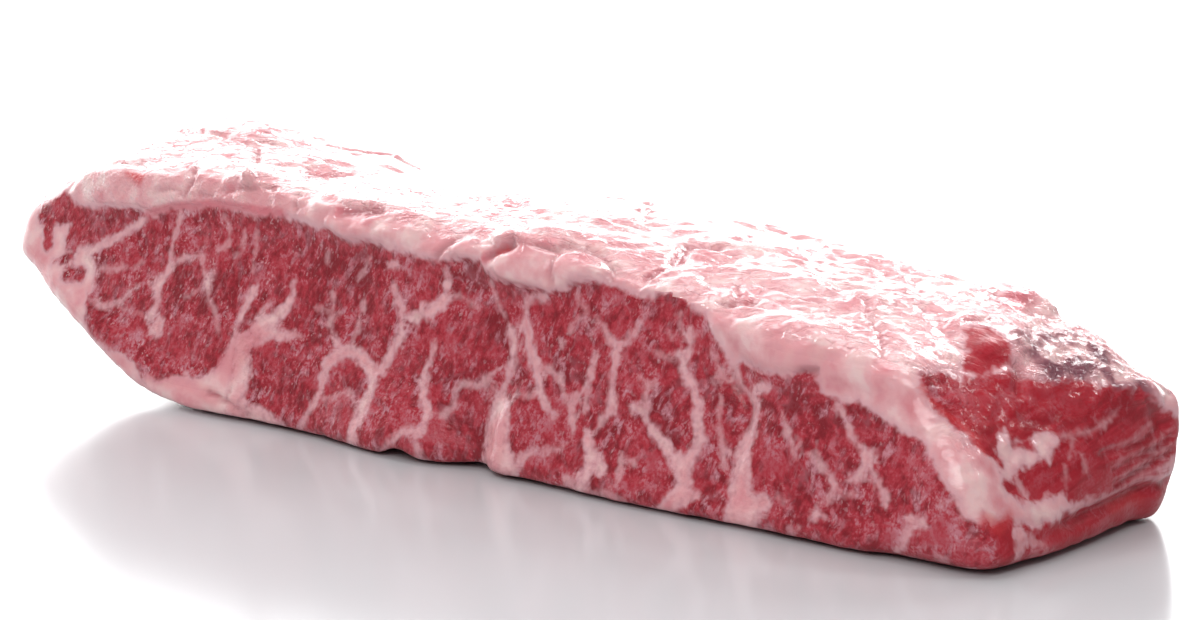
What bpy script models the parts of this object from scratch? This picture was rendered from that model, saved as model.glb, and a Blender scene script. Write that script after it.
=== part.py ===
"""A raw chuck flap steak: one long block of marbled beef that lies on its cut underside.

Metres, +Z up. The long side runs along X, from the raised nose (-X) to the blunt end (+X),
and the large knife-cut face looks along -Y. The piece is one solid.
"""

import math

import bmesh
import bpy
import numpy as np
from mathutils import Vector, noise

# --- block ---------------------------------------------------------------------------------
NOSE_X = -0.2085
END_X = 0.1630
FRONT_FOOT_Y = -0.0465
BACK_FOOT_Y = 0.0350
BACK_SHOULDER_Y = 0.0400
BACK_BELLY = 0.0030
FRONT_LEAN_NOSE = 0.32
FRONT_LEAN_END = 0.19

# Height of the top over the front edge and over the back edge, at places along X.
FRONT_TOP = (
    (-0.210, 0.0465),
    (-0.187, 0.0570),
    (-0.172, 0.0640),
    (-0.122, 0.0685),
    (-0.050, 0.0635),
    (0.010, 0.0620),
    (0.053, 0.0560),
    (0.126, 0.0460),
    (0.163, 0.0440),
)
BACK_TOP = (
    (-0.210, 0.0650),
    (-0.190, 0.0715),
    (-0.170, 0.0738),
    (-0.143, 0.0722),
    (-0.090, 0.0618),
    (-0.060, 0.0608),
    (-0.034, 0.0648),
    (0.008, 0.0635),
    (0.046, 0.0605),
    (0.084, 0.0560),
    (0.118, 0.0535),
    (0.142, 0.0425),
    (0.164, 0.0310),
)
TOP_CROWN = 0.0020

# --- ends ----------------------------------------------------------------------------------
NOSE_FOOT = (
    (-0.210, 0.0360),
    (-0.203, 0.0325),
    (-0.173, 0.0172),
    (-0.157, 0.0088),
    (-0.138, 0.0022),
    (-0.120, 0.0000),
)
NOSE_FOOT_SKEW = 0.010
NOSE_BACK_SWEEP = 0.020
END_LEAN = 0.034
END_LEAN_POWER = 1.4
END_LEAN_CURVE = 1.5
END_UNDERCUT = 0.006

# --- edges ---------------------------------------------------------------------------------
EDGE_FRONT_TOP = 0.009
EDGE_BACK_TOP = 0.014
EDGE_FRONT_FOOT = 0.0045
EDGE_BACK_FOOT = 0.012
EDGE_END = 0.0075
EDGE_END_LENGTH = 0.060

# --- relief --------------------------------------------------------------------------------
CAP_PROUD = 0.0016
CAP_LIP = 0.004
CAP_EDGE = (
    (-0.211, 0.0530),
    (-0.165, 0.0510),
    (-0.110, 0.0570),
    (-0.040, 0.0520),
    (0.000, 0.0500),
    (0.040, 0.0540),
    (0.066, 0.0500),
    (0.082, 0.0400),
    (0.110, 0.0395),
    (0.163, 0.0395),
)
FOLD_FOOT_X = -0.0045
FOLD_TOP_X = 0.0045
FOLD_DEPTH = 0.0050
FOLD_ROLL = 0.0014
FOLD_HEIGHT = 0.038
SEAM_X = 0.0785
SEAM_DEPTH = 0.0022
SEAM_WIDTH = 0.0060
FOOT_ROLL = 0.0022
FOOT_ROLL_HEIGHT = 0.008
FACE_WAVE = 0.0007
TOP_CRAG = 0.0016
TOP_CRINKLE = 0.0007
BACK_WAVE = 0.0016

# --- mesh ----------------------------------------------------------------------------------
CELLS_X = 74
CELLS_Y = 18
CELLS_Z = 14

# --- material ------------------------------------------------------------------------------
RAW_BEEF_COLOUR = (0.42, 0.075, 0.085, 1.0)
RAW_BEEF_ROUGHNESS = 0.35


def clear_scene():
    """Take away every object that the scene starts with."""
    for obj in list(bpy.data.objects):
        bpy.data.objects.remove(obj, do_unlink=True)


def ease(t):
    """0 to 1 with flat ends, for t from 0 to 1."""
    t = np.clip(t, 0.0, 1.0)
    return t * t * (3.0 - 2.0 * t)


def along(table, x):
    """The value of a table of (place, value) pairs at x, eased a little between the places."""
    places = np.array([row[0] for row in table])
    values = np.array([row[1] for row in table])
    spread = np.linspace(-0.008, 0.008, 5)
    return np.mean([np.interp(x + shift, places, values) for shift in spread], axis=0)


def bump(distance):
    """A round hill, 1 in the middle and 0 from distance 1 on."""
    return np.where(distance < 1.0, np.cos(0.5 * math.pi * np.clip(distance, 0.0, 1.0)) ** 2, 0.0)


def hill(p, centre, radii):
    """A round hill about a centre, with its own radius along each axis."""
    reach = np.sqrt(sum(((p[:, i] - centre[i]) / radii[i]) ** 2 for i in range(3)))
    return bump(reach)


def waves(p, scale, offset, octaves):
    """Soft noise from about -1 to 1, with waves about 1/scale long."""
    values = [noise.fractal(Vector(point) * scale + Vector(offset), 1.0, 2.0, octaves) for point in p]
    return np.array(values)


def divided_cube():
    """A cube from -1 to 1 with its faces cut into cells: a mesh of plain quads."""
    bm = bmesh.new()
    bmesh.ops.create_cube(bm, size=2.0)
    for axis, cells in enumerate((CELLS_X, CELLS_Y, CELLS_Z)):
        across = [e for e in bm.edges if abs(e.verts[0].co[axis] - e.verts[1].co[axis]) > 1e-6]
        bmesh.ops.subdivide_edges(bm, edges=across, cuts=cells - 1, use_grid_fill=True)
    return bm


def round_edges(unit):
    """Move points of the unit cube onto a cube with round edges, tighter at the cut face."""
    half = 0.5 * np.array([END_X - NOSE_X, BACK_SHOULDER_Y - FRONT_FOOT_Y, FRONT_TOP[3][1]])
    point = unit * half
    back = 0.5 + 0.5 * unit[:, 1]
    top = 0.5 + 0.5 * unit[:, 2]
    front_radius = EDGE_FRONT_FOOT + (EDGE_FRONT_TOP - EDGE_FRONT_FOOT) * top
    back_radius = EDGE_BACK_FOOT + (EDGE_BACK_TOP - EDGE_BACK_FOOT) * top
    radius = front_radius + (back_radius - front_radius) * back
    end = ease((point[:, 0] - half[0] + EDGE_END_LENGTH) / EDGE_END_LENGTH)
    radius = (radius + (EDGE_END - radius) * end)[:, None]
    core = np.clip(point, radius - half, half - radius)
    out = point - core
    out /= np.linalg.norm(out, axis=1)[:, None]
    return (core + radius * out) / half


def end_x(back, up):
    """The blunt end leans back over its front corner, and juts out over the foot of its back corner."""
    lean = END_LEAN * (1.0 - back) ** END_LEAN_POWER * up**END_LEAN_CURVE
    undercut = END_UNDERCUT * back**2 * (1.0 - ease(up / 0.6))
    return END_X - lean - undercut


def nose_x(back):
    """The nose is rounded in plan: its back corner is swept in."""
    return NOSE_X + NOSE_BACK_SWEEP * back**3


def top_height(x, back):
    """Height of the top, arched from the front edge to the back edge."""
    front = along(FRONT_TOP, x)
    rear = along(BACK_TOP, x)
    return front + (rear - front) * np.sin(0.5 * math.pi * back) ** 0.9 + TOP_CROWN * np.sin(math.pi * back)


def foot_height(x, back):
    """Height of the underside: on the table, and rising in a bow under the nose."""
    return along(NOSE_FOOT, x + NOSE_FOOT_SKEW * back)


def block(unit):
    """The block without relief, from points of the unit cube."""
    share = np.clip(0.5 + 0.5 * unit, 0.0, 1.0)
    back = share[:, 1]
    up = share[:, 2]
    left = nose_x(back)
    x = left + share[:, 0] * (end_x(back, up) - left)
    low = foot_height(x, back)
    z = low + up * (top_height(x, back) - low)
    lean = FRONT_LEAN_NOSE + (FRONT_LEAN_END - FRONT_LEAN_NOSE) * ease((x - NOSE_X) / (END_X - NOSE_X))
    front_y = FRONT_FOOT_Y + lean * z
    back_y = BACK_FOOT_Y + (BACK_SHOULDER_Y - BACK_FOOT_Y) * up + BACK_BELLY * np.sin(math.pi * up)
    y = front_y + back * (back_y - front_y)
    return np.stack([x, y, z], axis=1)


def cap_relief(p, facing):
    """The fat over the cut face stands a little proud of the lean."""
    edge = along(CAP_EDGE, p[:, 0])
    return CAP_PROUD * ease((p[:, 2] - edge + 0.5 * CAP_LIP) / CAP_LIP) * facing


def fold_relief(p, facing):
    """A fold across the cut face: the near half slopes in to it and a roll of fat swells past it."""
    line = FOLD_FOOT_X + (FOLD_TOP_X - FOLD_FOOT_X) * ease((p[:, 2] - 0.013) / 0.013)
    past = p[:, 0] - line
    flank = np.where(past < 0.0, ease((past + 0.018) / 0.018), ease((0.0055 - past) / 0.0055))
    roll = bump(np.abs(past - 0.0100) / 0.0085)
    low = ease((FOLD_HEIGHT - p[:, 2]) / FOLD_HEIGHT)
    return (FOLD_ROLL * roll - FOLD_DEPTH * flank) * low * facing


def seam_relief(p, facing):
    """The cap folds down here into an upright seam, sunk in the cut face."""
    sway = 0.0045 * np.sin((p[:, 2] - 0.010) * 90.0)
    across = np.abs(p[:, 0] - SEAM_X - sway) / SEAM_WIDTH
    tall = ease((0.052 - p[:, 2]) / 0.010) * ease(p[:, 2] / 0.012)
    return -SEAM_DEPTH * bump(across) * tall * facing


def foot_relief(p, facing):
    """A roll of fat along the foot of the cut face, under the nose half."""
    foot = foot_height(p[:, 0], 0.0)
    height = np.abs(p[:, 2] - foot - 0.6 * FOOT_ROLL_HEIGHT) / FOOT_ROLL_HEIGHT
    part = ease((p[:, 0] + 0.200) / 0.02) * ease((-0.085 - p[:, 0]) / 0.03)
    return FOOT_ROLL * bump(height) * part * facing


def lump_relief(p):
    """The separate lumps of fat and meat that stand out of the surface."""
    pillow = 0.0018 * hill(p, (-0.158, -0.028, 0.060), (0.034, 0.018, 0.012))
    knob = 0.0034 * hill(p, (-0.113, -0.025, 0.067), (0.009, 0.008, 0.008))
    drape = 0.0020 * hill(p, (-0.070, -0.026, 0.062), (0.028, 0.014, 0.010))
    pad = 0.0040 * hill(p, (0.004, -0.029, 0.058), (0.022, 0.016, 0.013))
    dip = -0.0016 * hill(p, (0.040, -0.030, 0.056), (0.014, 0.014, 0.010))
    shelf = 0.0020 * hill(p, (0.094, -0.034, 0.046), (0.030, 0.018, 0.012))
    heel = 0.0040 * hill(p, (-0.034, -0.046, 0.004), (0.040, 0.020, 0.022))
    sole = 0.0016 * hill(p, (0.050, -0.046, 0.004), (0.045, 0.020, 0.018))
    band = 0.0020 * hill(p, (0.147, -0.038, 0.024), (0.016, 0.018, 0.028))
    cheek = 0.0024 * hill(p, (0.160, 0.004, 0.022), (0.018, 0.030, 0.018))
    curl = 0.0032 * hill(p, (0.117, 0.034, 0.052), (0.012, 0.010, 0.012))
    chip = 0.0020 * hill(p, (0.126, 0.000, 0.050), (0.010, 0.012, 0.010))
    rim = 0.0022 * hill(p, (0.160, 0.036, 0.028), (0.014, 0.016, 0.012))
    fat = pillow + knob + drape + pad + dip + shelf
    return fat + heel + sole + band + cheek + curl + chip + rim


def crack_relief(p, top):
    """A short open crack across the top, near the middle."""
    across = np.abs(p[:, 0] - 0.052 - 0.45 * (p[:, 1] + 0.012)) / 0.0055
    length = bump(np.abs(p[:, 1] + 0.008) / 0.020)
    return -0.0022 * bump(across) * length * top


def relief(p, normal):
    """How far each point stands out along its normal."""
    facing = ease((-normal[:, 1] - 0.15) / 0.5)
    top = ease((normal[:, 2] - 0.25) / 0.5)
    rear = ease((normal[:, 1] - 0.1) / 0.5)
    off_table = ease((p[:, 2] - 0.001) / 0.006)
    out = cap_relief(p, facing)
    out += fold_relief(p, facing)
    out += seam_relief(p, facing)
    out += foot_relief(p, facing)
    out += lump_relief(p)
    out += crack_relief(p, top)
    out += FACE_WAVE * waves(p, 34.0, (3.1, 0.0, 7.7), 3) * facing * off_table
    out += TOP_CRAG * waves(p, 42.0, (11.0, 5.0, 2.0), 4) * top
    out += TOP_CRINKLE * (1.0 - 2.0 * np.abs(waves(p, 75.0, (1.0, 9.0, 4.0), 2))) * top
    out += BACK_WAVE * waves(p, 30.0, (6.0, 2.0, 8.0), 4) * rear * off_table
    return out


def lay_on_table(p):
    """Flatten the underside, and put the middle of the bounding box's foot at the origin."""
    p[:, 2] = np.maximum(p[:, 2], 0.0)
    middle = 0.5 * (p.min(axis=0) + p.max(axis=0))
    p[:, 0] -= middle[0]
    p[:, 1] -= middle[1]
    return p


def steak_mesh():
    """The steak's closed surface."""
    bm = divided_cube()
    unit = np.array([tuple(v.co) for v in bm.verts])
    points = block(round_edges(unit))
    for vert, point in zip(bm.verts, points):
        vert.co = point
    bmesh.ops.recalc_face_normals(bm, faces=bm.faces)
    bm.normal_update()
    normals = np.array([tuple(v.normal) for v in bm.verts])
    points = lay_on_table(points + relief(points, normals)[:, None] * normals)
    for vert, point in zip(bm.verts, points):
        vert.co = point
    bmesh.ops.triangulate(bm, faces=bm.faces, quad_method="SHORT_EDGE")
    mesh = bpy.data.meshes.new("chuck_flap_steak")
    bm.to_mesh(mesh)
    bm.free()
    return mesh


def raw_beef():
    """Raw beef, moist, between the red of the lean and the pink of the fat."""
    material = bpy.data.materials.new("raw_beef")
    material.use_nodes = True
    shader = material.node_tree.nodes["Principled BSDF"]
    shader.inputs["Base Color"].default_value = RAW_BEEF_COLOUR
    shader.inputs["Roughness"].default_value = RAW_BEEF_ROUGHNESS
    shader.inputs["Metallic"].default_value = 0.0
    return material


def chuck_flap_steak():
    """The one solid of the part."""
    steak = bpy.data.objects.new("chuck_flap_steak", steak_mesh())
    steak.data.materials.append(raw_beef())
    bpy.context.collection.objects.link(steak)
    return steak


clear_scene()
chuck_flap_steak()
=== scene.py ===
"""The looks of a raw chuck flap steak: wet marbled lean, a cap of crinkled fat and a pale studio floor.

Metres, +Z up. The cut face looks along -Y and the blunt end along +X. Routes of the marbling are
in millimetres: on the cut face along from its fold and up from the floor, on the blunt end back
from its middle and up from the floor, and on the top along from the fold and back from the middle.
"""

import math
from functools import partial

import bpy
import numpy as np
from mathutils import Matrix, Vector, noise


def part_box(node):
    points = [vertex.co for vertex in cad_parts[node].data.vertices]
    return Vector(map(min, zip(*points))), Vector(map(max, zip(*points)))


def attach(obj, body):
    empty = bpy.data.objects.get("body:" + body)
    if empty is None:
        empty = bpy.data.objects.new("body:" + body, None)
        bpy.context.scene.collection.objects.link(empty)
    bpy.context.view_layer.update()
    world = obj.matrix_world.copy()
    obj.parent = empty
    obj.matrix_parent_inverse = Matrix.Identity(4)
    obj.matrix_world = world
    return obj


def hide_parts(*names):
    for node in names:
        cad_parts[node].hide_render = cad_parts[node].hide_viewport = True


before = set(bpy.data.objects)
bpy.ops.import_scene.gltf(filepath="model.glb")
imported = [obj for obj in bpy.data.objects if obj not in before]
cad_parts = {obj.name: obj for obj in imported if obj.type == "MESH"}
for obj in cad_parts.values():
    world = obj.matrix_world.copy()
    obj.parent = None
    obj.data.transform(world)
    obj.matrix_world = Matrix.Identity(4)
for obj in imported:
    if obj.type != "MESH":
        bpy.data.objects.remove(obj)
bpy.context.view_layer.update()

bl_info = {
    "name": "Chuck Flap Steak",
    "version": (1, 0, 0),
    "blender": (4, 5, 0),
    "location": "3D View > Sidebar > Steak",
    "description": "Builds a raw marbled steak and a pale studio around it",
    "category": "Add Mesh",
}

STEAK_LOW, STEAK_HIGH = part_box("chuck_flap_steak")
MM = 0.001


def route(text):
    """The points of a line, in mm."""
    return [tuple(float(number) for number in point.split()) for point in text.split(",")]


def routes(text):
    """The rows of a table: the numbers before the colon, then the route after it."""
    rows = (row.partition(":") for row in text.strip().replace(",\n", ",").splitlines())
    return [(route(head)[0], *route(line)) for head, _, line in rows]


# --- frame of the marbling
FOLD_X = 22.2  # the fold of the cut face, along X in the part's frame
MIDDLE_Y = 3.74  # the middle line that the end and the top are measured from
ORIGIN = (FOLD_X, MIDDLE_Y, 0.0)
FACE_FOOT_Y = -44.0  # the foot of the cut face, from the middle line
FACE_LEAN = (0.30, 0.18)  # how far the face leans back for each mm up, at the nose and the end
FACE_SPAN = (-200.0, 160.0)
SEAM_SLANT = (0.874, 0.258)  # the seams run back through the meat along and up by this per mm
END_FROM = 122.0  # along from the fold, where the blunt end begins
FAR = 9.0  # mm, taken as far from any fat

# --- cut face: lower edge of the cap, from the nose to the blunt end
CAP_EDGE = route("""
-220 62, -200 50.5, -190 54, -185 51.5, -180 51, -170 51.5, -158 53, -150 51, -145 53, -141 54.5,
-130 55.5, -125 57, -113 57, -105 55.5, -100 57.3, -90 56.8, -75 55.7, -67 53.5, -58 54.5, -48 53,
-30 52.3, -20 54, -15 54, -12 51.5, -8 50.2, 0 49.6, 10 49.3, 15 50, 20 52.5, 25 54, 35 52.8,
44 51.5, 48 53, 53 54, 57 53, 60 51, 65 50, 69 44, 74 40.5, 76.5 35.5, 78 40, 86 38.5, 95 39,
101 40.3, 105 36.5, 110 34.5, 117 35, 124 33, 130 30, 135 29.5, 140 25, 145 19.5, 149 15.5, 151 13,
156 12.5, 160 17, 160 21, 157 27, 152 31, 149 33.5, 145 36, 141 36.5, 137 39, 133 43, 133.5 45,
150 47, 240 60, 240 90, -220 90
""")

# --- cut face: the rim of fat round the nose and along the foot
NOSE_RIM = route("""
-215 62, -200 50.5, -186 46, -186.5 38, -181 38, -175 36, -170 33.5, -171 27, -171 20, -168 15.5,
-160 12.8, -150 11.5, -146 10, -142 7, -138 5.5, -133 7.5, -127 8.5, -115 9.5, -110 14, -107.5 20,
-107 25, -104 26, -104 -10, -240 -10, -240 62
""")

# Lean that shows through the rim: half width, then the route.
RIM_LEAN = routes("""
4: -198 47.5, -190 49
2: -193.5 53, -192 50
1.9: -196.5 44, -194.5 38.5
1.1: -189.5 34, -182 36.5
2.2: -183 31, -177.5 31.3
""")

# --- cut face: seams of fat. Half widths from the start to the end of each, then its route
FACE_SEAMS = routes("""
3.5: -178 37, -177.5 37
1.4: -178 37, -172 40, -165 43.5, -160 46, -155 49, -152 52
2.5: -178 37, -173 34, -172 28
1 1 0.8: -173 25, -168 25, -163 23.5, -158 25, -155 28, -151 31
0.8: -172 33.5, -166 34.5, -160 35.5, -158 36
1.5 0.8 1.3 2 1 1.8: -138 54, -139 45, -138 38, -142 32, -140.5 28, -143 23
3: -139 21, -139.5 20.5
0.9: -137.5 39, -134 41, -129 42.5, -126 43, -124.5 41, -122.5 37
1.6: -121 36, -121 35.5
0.8 0.6: -121 35, -119.5 31, -116 29, -113.5 24, -112.5 22
0.5: -121 34.5, -124.5 33.5, -127 31.5, -130 30.5
0.7: -120 37, -119.5 39
0.8: -119 54.5, -116 52, -115 48, -116 46, -119 45
0.6: -109.5 52, -108.5 46, -111 44.5
0.6: -105 52, -103.5 49, -104 44, -103.5 42
1.4: -101 36, -103 33, -105 28, -106 25
0.4: -155 24, -148 24, -144 22
0.5: -155 36, -151 38
0.8: -146 33, -142 32
1: -123.5 9.5, -123 9.5
2.5 2.5 1.6 1: -98 26, -92 29, -87 33, -85 37, -86 40
2.5 1.8 0.6: -100 22, -92 25.5, -85 25.5, -80 26
0.7 1.1: -93.5 33.5, -97.5 28.5
4 4.6 4: -103 20, -101 12, -102 5
3.2 3 1.2: -140 4, -100 3, -85 1.5, -78 0
0.6: -74 50, -73.5 47
0.8: -69.5 39, -68 34, -69 31, -67.5 29, -66 27.5
0.6: -75 34.5, -72 34.5, -65.5 34
1.5: -66 27, -63 25, -60 24.5
1 1.4 2 2 2 1.8: -72 3, -70 8, -68 12, -67.5 16, -68 19, -66 21, -62 23.5, -57 24.5, -53 22.5,
    -50 20.5, -48 18, -49 14, -51 9, -52.5 4, -51 0
0.8: -59.5 25, -58 28, -57.5 32
0.7: -60 44, -58 48, -57 50
0.7: -68 11, -64 11, -60 13, -57 13.5, -54 11.5
0.8: -57 39, -56.5 36
1.2: -49 49.5, -47 49.5
1 1.4 1.5: -46 43.5, -44 41, -42 38, -41 34, -40 31, -43 28, -44 24, -46 21, -48 20
1 1.8 2.3 1.6 0.8: -41 36, -37 36, -34 38, -31 39, -28 41, -26 43.5, -26.5 48, -27.5 50.5
1.2: -34 40, -30 41
0.6: -26 44, -21 44.5, -16 43, -14 42
0.8 1.4 1.6 1.2 0.8: -28 31, -27.5 28, -29 24, -29.5 20, -28.5 16, -26 13, -26.5 9, -30 7, -34 6,
    -38 3, -40 0
1.1: -29 6, -27 2.5, -24 0
0.9: -26 12.7, -20 13, -16.5 14.5, -17 19.5, -15 21.5, -12 22.5, -9 22, -6.5 24.5, -4 26.5
0.5: -5.5 23, -3.5 21, -5.5 19
0.6: -10 49, -6 43, -2 40, 0 37
1.5 1.2: -1 38, 1 35, 1.5 31, 1 27, 0 22, -2 20
3 4.4 4 2.4: 0 19, 0 12, 1 5, 8 2.5
1 1.2 1.6 1.4 1: 9.5 47.5, 5 47.5, 3.5 45, 4.5 40, 7 35, 9 31, 12 26, 14 22.5, 17 19.5, 19 18
0.6: 4 21.5, 8 22, 11 22.5
0.9: 12 29.5, 16 29.5, 19 28, 21 24.5, 23.5 21.5, 25 21
1: 25 21, 25 19, 26 16
1.1: 30.5 35, 29.5 31, 29.5 27, 29 22
1: 29.5 28, 27 25, 24.5 22
0.5: 29.5 44, 28 42, 27.5 39
0.6 1.3 0.9: 29.5 44, 32 42.5, 34 40, 36.5 38.5, 37 35, 36.7 32, 37 29.5
1.2 0.8: 36.5 38.5, 40 40, 42.5 43, 43.5 45
0.8 1.6 1.8 0.9 0.7: 37 29, 38 26, 38 23, 35 19, 34 16
0.5: 21 49.5, 23 47.5, 25 46, 24.5 44.5, 21.5 43
0.6: 20.5 42, 20.5 40
0.9: 17.5 37, 17.8 36.5
0.8: 56.5 49, 57 46
0.5: 53 45, 55 43
0.4: 50 39, 56 37.5
1.2 1.4 1.5 1.8 2: 60.5 45, 61.5 42, 61 39.5, 59.5 37, 61 34.5, 64 31.5, 66 28, 67.5 24, 68.5 20,
    68 17, 66 14, 63 12.5
1 1.6: 57 39, 60 37.8
0.7: 46.5 32, 49 31, 51 31
0.8 1.2 2: 48.5 30.5, 49.5 27, 49.5 24, 50.5 21.5, 53 19.5, 56 17.5, 60 14.5, 63 13
0.7 1.6: 49.5 24, 46 24
2.2 2.8 2.6 2: 64.5 13, 65 9, 65 5, 62 2.5, 60 1
1.2: 66 6, 70 5
1.6 2.2 1.8 1.5: 31 15, 33 12, 34 9, 33 6, 33 3, 31 1
2: 37.5 7.5, 37 8
0.8: 30 1.5, 36 1, 42 2, 47 1
1: 27 3, 31 3
1.6 0.9 0.5: 7 2, 11 6, 14 8.5, 16 8.5, 22 10, 25 12
0.9: 43.5 11, 44 9, 44.5 6.5
0.7: 45 11, 48 10.5
0.7: 70 40, 71.5 37.5, 73 36, 75 35
0.6: 68.5 41, 71 38.5
0.6 0.7 1.1: 70.5 34, 73 31.5, 74 28, 74 24, 75.5 20.5, 77 18, 77 15
1.5 1.1 1 1.3 1.2 1.8 2.6 4 6: 76.5 38.5, 78.5 35, 82 33, 85 30.5, 85 26, 83.5 21, 83 15, 83.5 8, 86 3
3 2.4: 86 4, 91 7
1.6: 85.5 35, 87 35
1.1: 110 34, 113 31, 115 28, 118 25.5, 120 24
0.5 1.2 0.6: 93.5 29, 95.5 26, 97.5 23, 99 20.5
0.6: 97.5 24.5, 99.5 23.5
0.5 1 1.2 0.8: 102 21, 105 21, 107 19, 110 17, 112 15, 111.5 12, 110.5 10
0.5: 105.5 21.5, 105 23.5
0.6: 112 15, 115 13.5, 118 13.5
2.2: 121 23, 121.3 22.5
1.2: 121 22, 119 18, 117 17
1.2: 122 21, 125 18, 127 15, 128 13
0.5: 124 24, 127 25
1.8 0.7: 108 7.5, 110 7
0.6: 103 3, 101 2
0.6: 95 9, 98 8.5
1.2: 136 8, 134 3, 133 1.5
1.3: 136 10.5, 139 10.5
0.5: 143 15.5, 147 17
0.7: 145 3, 148 1
""")

# --- blunt end: fat round the lean, back from the middle line and up
END_CAP = route("""
-50 70, -44 55, -41 49, -38 44.8, -34.6 43.4, -26 42.9, -19.2 42.6, -11 42.5, -6.6 39.9, 3.5 39.7,
9.4 39.2, 10.5 37.3, 17.6 35.5, 24.2 35, 25 33, 28.9 29.5, 32.4 27.5, 36 26.5, 60 25, 60 70
""")
END_BAND = route("""
-60 36, -40 36, -36 33, -33 28, -30.5 24.5, -28.5 27, -25.5 29.3, -22.5 31, -22 27, -19.5 28.8,
-18.2 25.5, -14.5 29.8, -9.4 29.8, -8 27.7, -12 24, -14 20.8, -15.4 23.2, -19.7 22, -23.2 22,
-26.5 20.8, -27.5 19.5, -30 21.5, -30.3 18, -29 17, -25.9 15.6, -20 14.2, -16 15.4, -12.5 15.6,
-7.5 10.4, -16.3 9.2, -22.8 8.5, -30.2 9.8, -33 12.5, -38 12, -43 11, -60 12
""")
END_SEAMS = routes("""
0.9: -25.5 21, -24.5 16
1.4 0.8 0.7 0.8 1.5: -9 10.6, 2.6 11, 14.1 11.8, 23.9 12.2, 33.5 12.4
2.4 1.6 0.8: -30.5 8, -33 4.5, -32 2.5
1.3 0.5: -28 7, -22 4
0.2 0.4 1.2: 12 12.4, 21 13.8, 33.5 15.4
0.2 0.4 0.6: 8.5 15.4, 19 17, 33 19.8
0.1 0.3 0.5: 6 19.6, 17.5 20.4, 26 21.5, 32.5 23.4
0.1 0.3 0.3: 5.9 23.2, 16 23.6, 25 26
0.5 0.3: -9 20.9, -10.2 16.2
0.7 0.4: -3.3 22.5, -2.8 19.3
0.4: -4.1 27.2, -6.9 22.9
0.5 0.4 0.4 0.7 0.3: -8 27.6, -2 27.8, 3.4 27.9, 9 29, 13.5 31
0.4: -35 1.5, -28 2.5, -20 3
""")
# Holes in the band that show the lean.
END_LEAN = routes("""
1: -21.4 29.9, -21.2 29
1.2 0.8: -16.9 30, -17.6 26.3
0.6: -20.3 27.6, -19 26.6
1.2 0.5: -29.5 26, -29 23.5
""")
# Tones of the blunt end's lean: its own tones, painted shade along its grooves and deep fold, painted light
# on its foot.
END_TONES_AND_SHADING = routes("""
6 0.9: -22 40, -10 38, 4 36
2.4 1: -26 39, -22 35, -19.5 31
5 -1: 2 26, 14 31, 24 31
3 -0.8: -14 33, -2 33
7 1: -20 2, 0 2.5, 24 3
1.9 -1.3: -10 7.2, 3 8, 17 9.2, 30 10.2
1.3 -1: 4 22, 16.9 22, 25.5 23.3, 31.2 25.4
1.3 -1.1: 8 17.6, 18.9 18.7, 27.6 20.1, 33 21.4
1.2 -1: 9 13.4, 20.5 15.3, 28.2 17.2, 33.4 18.2
""")

# --- top: lean that shows through the cap
TOP_PATCH = route("""
127.5 -10, 129.5 -6.5, 133 -4.5, 138 -6, 142.5 -9, 141 -14, 141 -19, 137.6 -22.5, 133.5 -16
""")

# Rose streaks where the cap is thin: half width and depth of the tint, then the route.
TOP_BLUSH = routes("""
3 0.35: -200 8, -187 0
2 0.3: -198 13, -180 -5
0.8 0.55: -165 2, -150 1, -140 -3, -130 -8
2 0.35: -172 -12, -160 -18, -150 -20
1.3 0.5: -101 -2, -98 -4, -101 -8, -100 -14, -97 -22
2 0.5: -90 -1, -80 -8
3.5 0.4: -80 28, -73 23, -70 16, -62 12
1.5 0.55: -30 0, -22 -5, -12 -10
5 0.75: -24 -8, -23 -16
2.5 0.5: -12 -16, -4 -24
3 0.5: -8 18, -7 14
5 0.4: 4 20, 7 12, 14 6
3 0.65: 25 25, 30 18
6 0.6: 22 -20, 35 -22
3 0.6: 15 -25, 18 -24
4 0.55: 26 8, 35 6
3.5 0.65: 39 -6, 41 -7
2.4 0.9: 39.8 -11.9, 43.4 -19.4, 44.9 -24.4, 43 -30
5 0.4: 62 20, 70 8
4.5 0.6: 64 3, 75 0
3 0.5: 100 5, 105 -5
3 0.8: 73 -28, 75 -30
2 0.7: 83 -25, 83 -27
2.5 0.6: 122 -14, 123 -16
4.5 1: 119 30, 122 18
""")

# Rose tints on the face of the cap and in the thick seams.
FACE_BLUSH = routes("""
1.6 0.85: -152 52.3, -141 55.2, -128 57.3, -113 58.2, -104 57.6, -95 58.2
1.2 0.5: -135.7 60.6, -134 63.7, -134.5 66
2.6 0.45: -131 65, -124 67
4 0.4: -125 61.7, -114.5 63.9, -104.8 62.4, -94.6 60.6
2 0.75: -71.7 60.8, -66.7 60.3, -58.6 59.8, -54.4 62.7
2.5 0.55: -70.3 63.2, -63 63, -56.7 64.1
1.6 0.95: -12.5 55, -8.7 57.5, -5.9 58.6, -4.1 60.2
3 0.5: -30 57, -20 59.5
2 0.6: 26.6 60.5, 31 59, 36 58.5
1.5 0.5: 10 55, 12 52
7 0.45: 92 45, 104 44
4.5 0.6: -109.7 15.9, -105.5 14.5, -102.9 19.1, -98 23
2.2 0.5: -138.4 7.5, -129 7, -120 6.5, -109 4.5
0.4 0.5: -112.4 6, -109.1 5.4, -103.8 4.4, -98.7 3.1
3 0.5: 0 12, 1 4
""")
# Red of the meat that stains the cap and its borders.
FACE_STAINS = routes("""
2.6 0.9: -162 63.8, -156.8 62.2
1 0.7: -9.5 57, -6.5 58.3
0.9 0.6: 134.5 41.5, 141 37.2, 149 34.2, 156 28.5
2 0.6: 157.5 13.7, 162.6 12.4, 165.3 14.9
1.8 0.5: 204 20.5, 213 23.5
""")

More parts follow.
